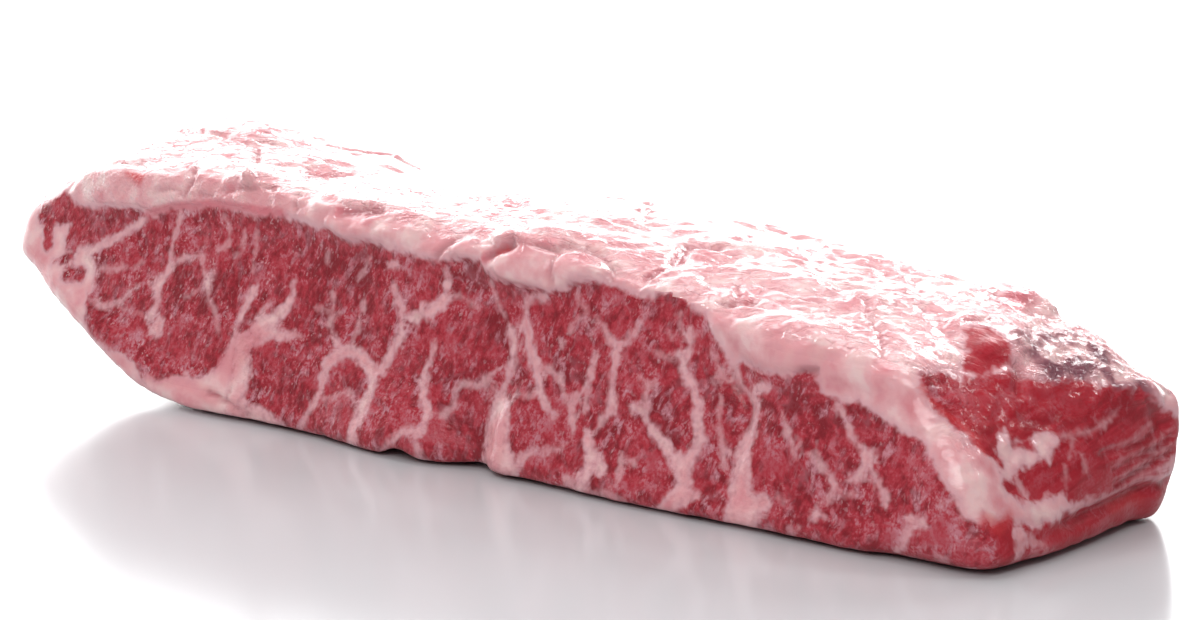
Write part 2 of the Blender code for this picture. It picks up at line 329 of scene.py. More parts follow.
# --- creases: half width and depth, then the route
FACE_CREASES = routes("""
1.2 1: -190 55, -184 60, -176 65
0.7 1: -112.4 6, -109.1 5.4, -103.8 4.4, -98.7 3.1, -94.5 2.6
1 1: -135.3 66.5, -134.8 63.6, -135.9 61.2, -137.2 59.2
0.8 0.7: -148.5 59, -143.4 60.1, -138.1 59.8, -131 59.7, -125 60, -120.1 61.6, -115.9 62.6
0.9 1.1: -114.3 63.1, -109.5 63.9, -104.7 64.4, -100.4 64.3
0.8 0.9: -89.2 63.5, -89.7 61.2, -88.3 59.3
1.8 1.5: -69.8 61.3, -63.2 62.3, -56.5 63.3
1 1.3: -31.3 53.4, -29.5 55.5, -26.9 57.6, -23.4 58.8
1.2 1.9: -11.3 55.9, -8.7 57.5, -5.9 58.6, -4.1 60.2
0.9 1: -16.6 58.8, -12.9 59.2, -10.4 58.4
0.8 1.1: -5.9 58.6, -1.9 60.4, 5.3 60.5, 12.5 60.3
1 1.3: 13 62, 18.4 62.4, 23.2 61.7, 28.1 60.4, 31 58.3, 32.5 55
0.8 0.8: 11 59.1, 10.5 55, 12.5 52
1 1.6: 97 40.2, 99.4 40.6, 101.5 41
1 0.8: 76 38, 78 34, 81 32, 83.5 29, 83 24
""")
END_CREASES = routes("""
1.4 1.7: -12 7.4, -6 7.9, 2.9 8.4, 12 9.3, 21.7 10, 33 10.6
1.4 0.9: -34 7, -20 6.2, -12 7.4
0.9 0.9: 4 22, 16.9 22, 25.5 23.3, 31.2 25.4
0.9 1: 8 17.6, 18.9 18.7, 27.6 20.1, 33 21.4
0.9 0.9: 9 13.4, 20.5 15.3, 28.2 17.2, 33.4 18.2
1.2 1.2: 24 35, 24.5 32, 27 28, 30 24
1.2 1.8: -8.1 43.4, -10.3 41.4, -12.6 38.6
0.9 0.6: -38 13, -30 11.5, -20 9.5
""")
TOP_CREASES = routes("""
1.5 1.6: 45.2 -3.5, 37.7 -6.9, 39.8 -11.9, 43.4 -19.4, 44.9 -24.4, 43 -30.2
1 1.3: 69.3 -33.1, 72.4 -33.6, 76 -31.3, 76.8 -28.2
0.9 1: 99.4 -11.8, 105.8 -19.5, 113 -24.3, 122 -35.6
1.2 1.2: -194 -26, -178 -25, -160 -25
0.9 0.9: -175 3.8, -159 -0.2, -151.7 1.2, -143.2 -0.5, -134.3 -0.7, -123 -12
0.9 0.8: -138.6 3.3, -135 4.1, -129.5 5
0.9 0.8: -124.2 18.6, -117.4 20.2, -113 26.8, -110.6 30, -97.2 29.9
1.2 0.9: -193 -1.7, -194 8.3, -191 13.8
1.4 1.2: -104 -9.4, -99.3 -5.8, -95.8 -1.1
1 0.7: -101 -2, -98 -6, -101 -12, -97 -22
1.5 0.7: -33 1, -27 -3, -24 -8, -17 -9, -11 -13
1.5 0.7: 1 21, 6 17, 7 12, 13 8, 14 2
1 0.7: 127 -14, 126 -6, 129 1, 134 4
1.6 0.7: 57 23, 62 18, 63 12, 70 8, 75 1
1 1: 66 -22, 74 -31, 84 -30
1.4 0.6: 94 16, 99 11, 101 5, 108 2, 113 -7
""")

# --- loose shreds that stand on the cap: turns about X, Y and Z, then middle and radii in mm
SHREDS = routes("""
0 0.05 0.6: 118.8 27 52.4, 6.4 3.8 2.5
0 0.35 0.2: 123 30 51.4, 5.4 3.8 2.4
0.3 0.3 0: 126.2 29 49.8, 2.4 3 2.4
0 -0.2 0.3: -108.8 -28.8 66.6, 2.2 1.6 4.6
0 0.25 0.2: -104 -28 63.8, 3.6 1.8 1.4
""")

# Swellings of the cap: height, then middle and radii in mm.
LUMPS = routes("""
1.3: -160 -30 59.5, 30 9 6
1: -60 -32 58, 14 8 3.4
1.2: -44 -31 60.5, 11 9 4.5
1.5: -3 -32 62.5, 9 6 2.2
1.1: -18.5 -33.5 57.8, 6 8 3.4
1.1: 3.5 -35.5 55.8, 10 8 4.2
1.5: 23 -33 57.2, 9 8 4.2
2.4: 131 -5 46.5, 12 11 9
1: 72 -29 55.2, 4 4.4 3
1: 92 -37 47, 16 9 7
0.8: 119 -38 43.5, 10 8 4
1.6: 161.5 26 34.5, 5 5 6.5
""")

# How far the lip of the cap stands out along the cut face.
LIP = route("-200 0.3, -150 0.2, -100 0.5, -60 0.9, -5 1.5, 20 1.4, 40 0.5, 70 0.7, 110 0.5")

# Soft noise over the surface: wave lengths in mm along X, Y and Z, offset and octaves.
WAVES = {
    "rough": ((30, 22, 22), (9, 3, 5), 1),  # where the top is rough and where it is smooth
    "lumps": ((24, 20, 20), (3, 1, 7), 2),  # broad swellings of the top
    "folds": ((15, 6.5, 8), (5, 4, 7), 2),  # folds of its skin
    "skin": ((7, 3.2, 4), (8, 2, 1), 2),  # and the finer ones between them
    "cap": ((14, 14, 9), (2, 6, 3), 2),  # softness of the cap above the cut face
    "face": ((6, 6, 6), (1, 1, 2), 2),  # unevenness of the cut
    "loose": ((7, 6, 4.2), (3, 8, 2), 2),  # loose skin on the cap at the nose
    "uneven": ((7, 7, 5), (5, 9, 2), 1),  # heights of the swellings in LUMPS
    "end": ((9, 9, 7), (4, 2, 3), 2),  # unevenness of the blunt end
    "silver": ((3.6, 4.2, 3.4), (7, 2, 3), 2),  # puckers of the silver skin
    "back": ((14, 9, 10), (2, 6, 9), 3),  # unevenness of the back
    "band": ((3.2, 3.2, 3.2), (6, 1, 8), 2),  # ragged edge of the band on the blunt end
}

# --- tones of the lean, partly painted shade under the lip of the cap: half width and depth (below zero: darker), then the route
FACE_TONES_AND_SHADE = routes("""
5 -0.8: -72 47, -60 45
4 -0.7: -118 33, -110 40
4 -0.6: -30 46, -12 50
2 -0.9: -4 37, -3 34
2.5 -0.9: 3.5 24, 4 21
2.5 -0.8: -4 3.5, -6 10
2.5 -1: 89.5 30, 90 26
3 -0.7: 97 33, 108 31
5 -0.5: 18 36, 24 30
6 -0.5: 55 27, 58 22
5 0.7: -146 16, -132 13
4 0.8: -38 10, -18 8
3 0.9: -26 40, -20 34
5 0.7: 12 14, 22 18
4 0.6: 48 6, 54 10
4 0.7: 92 20, 94 14
6 0.8: 134 5, 146 6
""")

# --- wet film and fibres: real sizes in mm, or in metres where a mapping takes them
FIBRE_WIDTH = 2.1  # streaks of pale meat between the fibres
FIBRE_LENGTH = 2.5  # and their length
STROKE_SIZES = (2.6 * MM, 2.6 * MM, 5.6 * MM)  # broader strokes of fine fat through the lean
END_FIBRE_SIZES = (5.0 * MM, 12.0 * MM, 1.8 * MM)  # streaks along the fibres of the blunt end
GLINT_SPECK_SIZES = (1.1 * MM, 1.1 * MM, 1.8 * MM)  # tiny painted glints of the wet film, longer up than across
FIBRE_SWAY = 26.0  # waves in the run of the fibres
SPECK_SIZE = 0.9  # crumbs of fat inside the streaks
PATCH_SIZE = 6.0  # patches with many flecks and with few
FEATHER_SIZE = 1.9  # ragged ends of the fibres along a seam
CLOUD_SIZE = 9.0  # slow changes of colour in the lean
VEIN_SIZE = 6.0  # waves of the faint threads of fat between the seams
VEIN_PATCH = 12.0  # patches where they show
TINT_SIZE = 9.0  # patches of cream and rose in the fat
SEAM_WOBBLE = 3.4  # soft winding of a seam's edge
SKIN_SIZE = 1.3  # the finest grain of the wet meat
CRUMPLE_SIZE = 4.4  # small folds of the wet skin
CREASE_SIZE = 3.8  # grooves between the small folds
JUICE_IOR = 1.36  # bends light a little more than water

# --- steak mesh
# What is worked out at each point, for the material to read.
MARBLING = ("seam_offset", "seam_half", "seam_gap", "fat_edge", "blush", "silver", "tone_and_shading", "grain", "wet",
            "crinkle", "hollow_shade", "stain", "beads")
VOXEL = 1.2 * MM
TOP_TILT = 0.62  # upward share of the normal from which a surface counts as top
SOFT_ROUNDS = 6  # rounds of averaging for the normals that the relief follows
ROUND_ROUNDS = 24  # and for the rounded nose and foot
BAKE_SPAN = 384.0  # mm across the whole bake map
BAKE_MARGIN = 2.0  # mm left round the solid's box for the relief
BAKE_GAP = 3.0

# --- studio: soft lights that look at the steak, with place, width in metres and power in watts
LIGHTS = (
    ("fill", (0.62, -1.5, 1.35), 1.2, 20.0),
    ("spark", (-0.9, -0.7, 1.64), 0.25, 3.0),
    ("top", (-0.3, 0.3, 1.6), 0.8, 9.0),
    ("rim", (-0.35, 1.35, 1.15), 0.5, 9.0),
    ("glint", (0.9, 0.8, 1.2), 0.25, 3.2),
)
WALL_GLOW = 4.2  # strength of the bright wall, and of the room all round
ROOM_GLOW = 0.32
FLOOR_SIZE = 12.0
FLOOR_TOP = -0.2 * MM  # just under the meat, so that the two faces don't fight

# --- photograph's view
LENS = 100.0
CAMERA_PLACE = (0.61414, -0.67303, 0.21261)
CAMERA_TURN = 41.17
CAMERA_PITCH = 10.98


def linear(code):
    """An sRGB hex colour as the linear colour that Blender mixes in."""
    parts = [((code >> shift) & 255) / 255 for shift in (16, 8, 0)]
    return tuple(c / 12.92 if c <= 0.04045 else ((c + 0.055) / 1.055) ** 2.4 for c in parts) + (1.0,)


def ease(value, start=0.0, end=1.0):
    """0 before start, 1 past end, smooth between."""
    t = np.clip((value - start) / (end - start), 0.0, 1.0)
    return t * t * (3.0 - 2.0 * t)


def bulge(value, middle, reach):
    """1 at the middle, fading to nothing on both sides."""
    return np.exp(-((value - middle) / reach) ** 2)


def waves(points, name):
    """Soft noise from about -1 to 1 with the wave lengths of a row of WAVES."""
    sizes, offset, octaves = WAVES[name]
    scaled = points / np.array(sizes) + np.array(offset)
    return np.array([noise.fractal(Vector(p), 1.0, 2.0, octaves) for p in scaled])


def seam_field(uv, table):
    """For each point: the offset from the nearest seam's line, signed by side; its half width; the gap."""
    count = len(uv)
    side = np.full(count, FAR)
    half = np.zeros(count)
    gap = np.full(count, FAR)
    for widths, *route in table:
        route = np.array(route, float)
        places = np.linspace(0, 1, len(route))
        radii = np.interp(places, np.linspace(0, 1, len(widths)), widths)
        for a, b, start, end in zip(route, route[1:], radii, radii[1:]):
            step = b - a
            away = uv - a
            t = np.clip(away @ step / (step @ step), 0, 1)
            distance = np.linalg.norm(away - t[:, None] * step, axis=1)
            radius = start + (end - start) * t
            nearer = distance - radius < gap
            turn = np.where(step[0] * away[:, 1] - step[1] * away[:, 0] < 0, -1, 1)
            side[nearer] = (turn * distance)[nearer]
            half[nearer] = radius[nearer]
            gap[nearer] = (distance - radius)[nearer]
    return side, half, gap


def outline_field(uv, corners):
    """Distance from a closed outline in mm, below zero inside it."""
    corners = np.array(corners, float)
    least = np.full(len(uv), 1e9)
    inside = np.zeros(len(uv), bool)
    for a, b in zip(corners, np.roll(corners, -1, axis=0)):
        step = b - a
        away = uv - a
        t = np.clip(away @ step / (step @ step), 0, 1)
        least = np.minimum(least, np.linalg.norm(away - t[:, None] * step, axis=1))
        crosses = (a[1] > uv[:, 1]) != (b[1] > uv[:, 1])
        rise = step[1] if step[1] else 1
        inside ^= crosses & (uv[:, 0] < a[0] + step[0] * (uv[:, 1] - a[1]) / rise)
    return np.where(inside, -least, least)


def tone_field(uv, table):
    """Depth of the tint at each point, from soft streaks."""
    tint = np.zeros(len(uv))
    for (radius, depth), *route in table:
        gap = seam_field(uv, (((0,), *route),))[2]
        tint += depth * (1 - ease(gap, 0.3 * radius, 1.5 * radius))
    return np.clip(tint, -1, 1)


def face_place(p):
    """Where a point lies on the cut face: carried forward along the seams' slant."""
    x, y, z = p.T
    share = np.clip((x - FACE_SPAN[0]) / (FACE_SPAN[1] - FACE_SPAN[0]), 0, 1)
    lean = FACE_LEAN[0] + (FACE_LEAN[1] - FACE_LEAN[0]) * share
    back = (y - FACE_FOOT_Y - lean * z) / (1 + lean * SEAM_SLANT[1])
    return np.stack([x + SEAM_SLANT[0] * back, z + SEAM_SLANT[1] * back], axis=1)


def sides_of(p, normal):
    """Which side each point belongs to: cut face, top, blunt end, back or underside."""
    x, y, z = p.T
    side = np.full(len(p), "face", dtype="<U5")
    side[normal[:, 2] > TOP_TILT] = "top"
    side[normal[:, 1] > 0.55] = "back"
    side[(x > END_FROM) & (y > -40) & (normal[:, 1] < 0.80)] = "end"
    side[(normal[:, 2] < -0.75) & (z < 3)] = "under"
    return side


def marble(p, normal):
    """The marbling at each point, as arrays that the material reads."""
    x, y, z = p.T
    front, up = -normal[:, 1], normal[:, 2]
    side = sides_of(p, normal)
    offset, gap, fat = np.full((3, len(p)), FAR)
    half, tone_and_shading, blush, stain, grain = np.zeros((5, len(p)))

    # The seams of the cut face come out again at the back and underneath.
    place = face_place(p)
    for name, along, high in (("back", -30 - x, 0.9 * z),
                              ("under", 0.9 * x + 8, 0.55 * np.abs(y + 45))):
        on = side == name
        place[on] = np.stack([along, high], axis=1)[on]
    on = side != "top"
    offset[on], half[on], gap[on] = seam_field(place[on], FACE_SEAMS)

    on = (side == "face") | (side == "end")
    uv = place[on]
    rim = np.maximum(outline_field(uv, NOSE_RIM), -seam_field(uv, RIM_LEAN)[2])
    fat[on] = np.minimum(outline_field(uv, CAP_EDGE), rim)
    # The lean's tones, partly painted shade under the lip of the cap; the blush and the stains.
    for field, table in ((tone_and_shading, FACE_TONES_AND_SHADE), (blush, FACE_BLUSH), (stain, FACE_STAINS)):
        field[on] = tone_field(uv, table)

    patch = outline_field(p[:, :2], TOP_PATCH)
    on = side == "top"
    fat[on] = -patch[on]

    on = side == "end"
    uv = p[on][:, 1:]
    past = ease(place[on][:, 0], 141, 147)
    grain[on] = ease(place[on][:, 0], 138, 150)
    for field, value in zip((offset, half, gap), seam_field(uv, END_SEAMS)):
        field[on] = np.where(past > 0.5, value, field[on])
    cap = np.maximum(outline_field(uv, END_CAP), -patch[on])
    band = outline_field(uv, END_BAND) + 1.1 * waves(p[on], "band")
    band = np.maximum(band, -seam_field(uv, END_LEAN)[2])
    fat[on] += (np.minimum(cap, band) - fat[on]) * past
    # On the blunt end: painted shade in its grooves and fold, painted light on its foot, and its own tones.
    tone_and_shading[on] += (tone_field(uv, END_TONES_AND_SHADING) - tone_and_shading[on]) * past

    behind = ease(-front, -0.1, 0.6) * ease(y, 0, 20)
    behind = np.where((side == "face") | (side == "back"), behind, 0)
    fat += (46 + 3 * np.sin(x / 17) - z - fat) * behind
    blush *= 1 - behind
    stain *= 1 - behind

    on = ((side == "top") | (side == "end")) & (z > 38)
    blush[on] = np.maximum(blush[on], tone_field(p[on][:, :2], TOP_BLUSH) * ease(z[on], 38, 42))
    silver = ease(x, 128, 136) * ease(y, -7, 0) * ease(z, 30, 33)
    silver *= (1 - ease(y, 23, 29)) * (1 - 0.8 * ease(z, 46, 50))
    red = (1 - ease(patch, -0.5, 1.5)) * ease(z, 38, 42)
    wet = np.where(fat < 0, ease(up, 0, 0.6), ease(up, 0.2, 0.6)) * (1 - 0.7 * red)
    wet = np.where(fat > 0, wet * (1 - 0.8 * grain), np.maximum(wet, 0.3))
    far = ease(y, -5, 25) * (1 - ease(x, 60, 110)) * ease(x, -135, -105)
    crinkle = ease(up, 0.5, 0.8) * (1 - 0.75 * far) * (1 - 0.4 * ease(x, -30, 50))
    beads = ease(-fat, 0.5, 2.5) * ease(z, 46, 50) * (1 - ease(up, 0.5, 0.7))
    beads *= ease(x, -190, -170) * (1 - ease(x, -115, -70)) * ease(front, 0.3, 0.6)
    wet = np.maximum(wet, np.maximum(0.8 * beads, 0.85 * silver))
    return dict(seam_offset=offset, seam_half=half, seam_gap=gap, fat_edge=fat, blush=blush, tone_and_shading=tone_and_shading,
                grain=grain, silver=silver, wet=wet, crinkle=crinkle * (1 - 0.8 * red), stain=stain,
                beads=beads, red=red)


def crease_field(uv, table):
    """Depth of the creases at each point, in mm."""
    depth = np.zeros(len(uv))
    for (radius, deep), *route in table:
        gap = seam_field(uv, (((0,), *route),))[2]
        depth = np.maximum(depth, deep * (1 - ease(gap, 0, 1.8 * radius)))
    return depth


def relief(p, normal, fields):
    """How far each point of the wet surface stands out, in mm, and how much painted shade its creases get."""
    x, y, z = p.T
    front, up = -normal[:, 1], normal[:, 2]
    side = sides_of(p, normal)
    top = ease(up, 0.25, 0.65)
    face = ease(front, 0.3, 0.7)
    out, hollow_shade = np.zeros((2, len(p)))

    on = top > 0
    q = p[on]
    rough = 0.30 + 0.33 * ease(q[:, 0], -60, 60) + 0.40 * waves(q, "rough")
    rough = np.clip(rough, 0.1, 1.2) * (1 - 0.8 * fields["red"][on])
    lumps = waves(q, "lumps")
    folds = np.abs(waves(q, "folds"))
    skin = np.abs(waves(q, "skin"))
    out[on] += (lumps * rough + (1.5 * folds + 1.5 * skin) * rough - 0.5) * top[on]
    creases = crease_field(q[:, :2], TOP_CREASES)
    out[on] -= creases * top[on]
    # Painted shade down in the creases and folds of the top.
    hollow_shade[on] = np.maximum(0.45 * creases, 0.5 * (1 - ease(folds, 0, 0.09)) * rough) * top[on]

    on = side == "face"
    uv = face_place(p[on])
    deep = -fields["fat_edge"][on]
    high = ease(uv[:, 1], 44, 48)
    lip = ease(deep, -1.5, 1.9) * (1 - 0.7 * ease(deep, 2, 8)) * high
    plump = np.interp(uv[:, 0], *zip(*LIP))
    soft = waves(p[on], "cap")
    out[on] += (lip * plump + 0.7 * soft * ease(deep, 0, 2) * high) * face[on]
    out[on] += 0.22 * waves(p[on], "face") * face[on]
    loose = ease(uv[:, 0], -152, -138) * (1 - 0.6 * ease(uv[:, 0], -70, -40))
    loose *= ease(deep, 0.5, 2.5) * high
    out[on] += 1.5 * np.abs(waves(p[on], "loose")) * loose * face[on]

    on = ((side == "face") | (side == "top")) & (y < -18) & (x < 130)
    creases = crease_field(face_place(p[on]), FACE_CREASES)
    out[on] -= creases
    # Painted shade down in the creases of the cap.
    hollow_shade[on] = np.maximum(hollow_shade[on], 0.55 * creases)
    uneven = 1 + 0.5 * waves(p, "uneven")
    for (height,), middle, radii in LUMPS:
        far = np.sum(((p - np.array(middle)) / np.array(radii)) ** 2, axis=1)
        out += height * uneven * np.sqrt(np.clip(1 - far, 0, 1))
    edge = bulge(up, 0.6, 0.22) * ease(front, 0.3, 0.6)
    out += 0.9 * edge * (1 - ease(x, -120, -60))

    on = side == "end"
    away = 1 - top[on]
    deep = -fields["fat_edge"][on]
    creases = crease_field(p[on][:, 1:], END_CREASES)
    out[on] -= creases
    # Painted shade down in the creases of the blunt end.
    hollow_shade[on] = np.maximum(hollow_shade[on], 0.5 * creases)
    out[on] += (0.8 * ease(deep, -1.4, 1.8) + 0.5 * waves(p[on], "end")) * away
    out[on] += 1.3 * np.abs(waves(p[on], "silver")) * fields["silver"][on]

    on = side == "back"
    out[on] += 0.9 * waves(p[on], "back") * ease(p[on][:, 2], 0.5, 6)

    # The foot swells where the meat rests, and the tip of the nose is round.
    out += (1 - ease(z, 2, 9)) * ease(up, -0.95, -0.5)
    tip = ease(-normal[:, 0], 0.3, 0.8) * (1 - ease(x, -195, -170))
    out += tip * (2.4 + 1.8 * bulge(z, 32, 7) - 1.6 * bulge(z, 57, 6))
    corner = ease(x, 140, 155) * ease(y, 18, 30)
    out += corner * (2.6 * bulge(z, 8, 8) - 2 * bulge(z, 30, 7))
    return out, hollow_shade


def read(items, name, width=1, kind=np.int32):
    """One property of all vertices, edges, corners or faces of a mesh."""
    values = np.empty(len(items) * width, kind)
    items.foreach_get(name, values)
    return values.reshape(-1, width) if width > 1 else values


def soften(values, edges, count, rounds):
    """Values averaged with their neighbours' along the edges, a few times over."""
    for _ in range(rounds):
        total = np.array(values, float)
        for a, b in ((0, 1), (1, 0)):
            np.add.at(total, edges[:, a], values[edges[:, b]])
        values = total / (1 + count)[:, None]
    return values


def bake_map(mesh, p, normal):
    """A UV map with one flat chart for each side, laid out in one square."""
    gap = BAKE_GAP
    low = 1000 * np.array(STEAK_LOW) - BAKE_MARGIN
    size = 1000 * np.array(STEAK_HIGH) + BAKE_MARGIN - low
    loops = read(mesh.loops, "vertex_index")
    totals = read(mesh.polygons, "loop_total")
    face_of_loop = np.repeat(np.arange(len(totals)), totals)
    mean, middle = np.zeros((2, len(totals), 3))
    np.add.at(mean, face_of_loop, normal[loops])
    np.add.at(middle, face_of_loop, p[loops])
    middle /= totals[:, None]
    mean /= np.linalg.norm(mean, axis=1)[:, None]
    chart = np.where(mean[:, 1] < 0, "front", "back")
    chart[mean[:, 2] > TOP_TILT] = "top"
    chart[(mean[:, 2] < -0.80) & (middle[:, 2] < 2)] = "under"
    sideways = (np.abs(mean[:, 0]) > np.abs(mean[:, 1])) & (np.abs(mean[:, 2]) < TOP_TILT)
    chart[sideways & (mean[:, 0] > 0)] = "end"
    chart[sideways & (mean[:, 0] < 0)] = "nose"
    chart = chart[face_of_loop]
    where = p[loops] - low
    last_row = 4 * gap + 2 * size[2] + size[1]
    rows = (
        ("front", 0, 2, 1, gap, gap),
        ("back", 0, 2, 1, gap, 2 * gap + size[2]),
        ("top", 0, 1, 1, gap, 3 * gap + 2 * size[2]),
        ("under", 0, 1, 0.5, gap, last_row),
        ("end", 1, 2, 1, 2 * gap + 0.5 * size[0], last_row),
        ("nose", 1, 2, 1, 3 * gap + 0.5 * size[0] + size[1], last_row),
    )
    uv = np.zeros((len(loops), 2))
    for name, across, up, scale, left, foot in rows:
        on = chart == name
        uv[on, 0] = left + scale * where[on, across]
        uv[on, 1] = foot + scale * where[on, up]
    layer = mesh.uv_layers.new(name="OFBake")
    layer.data.foreach_set("uv", (uv / BAKE_SPAN).astype(np.float32).ravel())


def even_mesh(context):
    """The CAD solid's own mesh with the shreds joined on, rounded and cut into even faces."""
    bpy.ops.object.select_all(action="DESELECT")
    piece = bpy.data.objects.new("marbled_steak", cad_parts["chuck_flap_steak"].data.copy())
    context.scene.collection.objects.link(piece)
    context.view_layer.objects.active = piece
    piece.select_set(True)
    bpy.ops.object.mode_set(mode="EDIT")
    bpy.ops.mesh.select_all(action="SELECT")
    bpy.ops.mesh.remove_doubles(threshold=0.01 * MM)
    bpy.ops.mesh.tris_convert_to_quads()
    bpy.ops.object.mode_set(mode="OBJECT")
    shreds = []
    for tilt, middle, radii in SHREDS:
        place = Vector(middle) + Vector(ORIGIN)
        bpy.ops.mesh.primitive_uv_sphere_add(segments=24, ring_count=16, radius=1.0, location=place * MM,
                                             rotation=tilt, scale=Vector(radii) * MM)
        shreds.append(context.object)
    for shred in (piece, *shreds):
        shred.select_set(True)
    context.view_layer.objects.active = piece
    bpy.ops.object.join()
    for kind, settings in (("SUBSURF", {"levels": 1, "render_levels": 1}),
                           ("REMESH", {"mode": "VOXEL", "voxel_size": context.scene.steak.mesh_spacing}),
                           ("SMOOTH", {"factor": 0.5, "iterations": 3})):
        modifier = piece.modifiers.new(kind, kind)
        for name, value in settings.items():
            setattr(modifier, name, value)
        bpy.ops.object.modifier_apply(modifier=kind)
    return piece


def carve(mesh, settings):
    """Move the points out or in by the relief, and write the marbling on them."""
    edges = read(mesh.edges, "vertices", 2)
    count = np.bincount(edges.ravel(), minlength=len(mesh.vertices)).astype(float)
    normal = read(mesh.vertex_normals, "vector", 3, np.float32).astype(float)
    normal = soften(normal, edges, count, SOFT_ROUNDS)
    normal /= np.linalg.norm(normal, axis=1)[:, None]
    p = read(mesh.vertices, "co", 3, float) * 1000
    bake_map(mesh, p, normal)
    p -= ORIGIN
    fields = marble(p, normal)
    out, fields["hollow_shade"] = relief(p, normal, fields)
    p += settings.relief * out[:, None] * normal
    x, y, z = p.T
    nose = 1 - ease(x, -200, -184)
    foot = ease(x, 124, 132) * (1 - ease(y, -30, -20)) * (1 - ease(z, 12, 24))
    p += np.maximum(nose, foot)[:, None] * (soften(p, edges, count, ROUND_ROUNDS) - p)
    p[:, 2] = np.maximum(p[:, 2], 0)
    for name in MARBLING:
        layer = mesh.attributes.new(name, "FLOAT", "POINT")
        layer.data.foreach_set("value", fields[name].astype(np.float32))
    mesh.vertices.foreach_set("co", ((p + ORIGIN) * MM).ravel())
    mesh.update()


# What the word after a node's kind chooses.
CHOICE = {"Math": "operation", "VectorMath": "operation", "Mix": "data_type",
          "MapRange": "interpolation_type"}


def add(tree, kind, into=(), **settings):
    """Add a node of a kind, such as "Math ADD", with its settings.

    `into` gives its sockets, by name or in order, a value, or the node or socket to link.
    """
    kind, _, choice = kind.partition(" ")
    made = tree.nodes.new("ShaderNode" + kind)
    if choice:
        settings[CHOICE[kind]] = choice
    for name, value in settings.items():
        setattr(made, name, value)
    if isinstance(into, tuple):
        into = dict(zip((socket for socket in made.inputs if socket.enabled), into))
    for socket, value in into.items():
        socket = made.inputs[socket] if isinstance(socket, str) else socket
        if isinstance(value, bpy.types.Node):
            value = next(output for output in value.outputs if output.enabled)
        if isinstance(value, bpy.types.NodeSocket):
            tree.links.new(value, socket)
        else:
            socket.default_value = value
    return made


def surface(name, constants):
    """A new material, and its shader with these sockets set."""
    material = bpy.data.materials.new(name)
    material.use_nodes = True
    shader = material.node_tree.nodes["Principled BSDF"]
    for socket, value in constants.items():
        shader.inputs[socket].default_value = value
    return material, shader


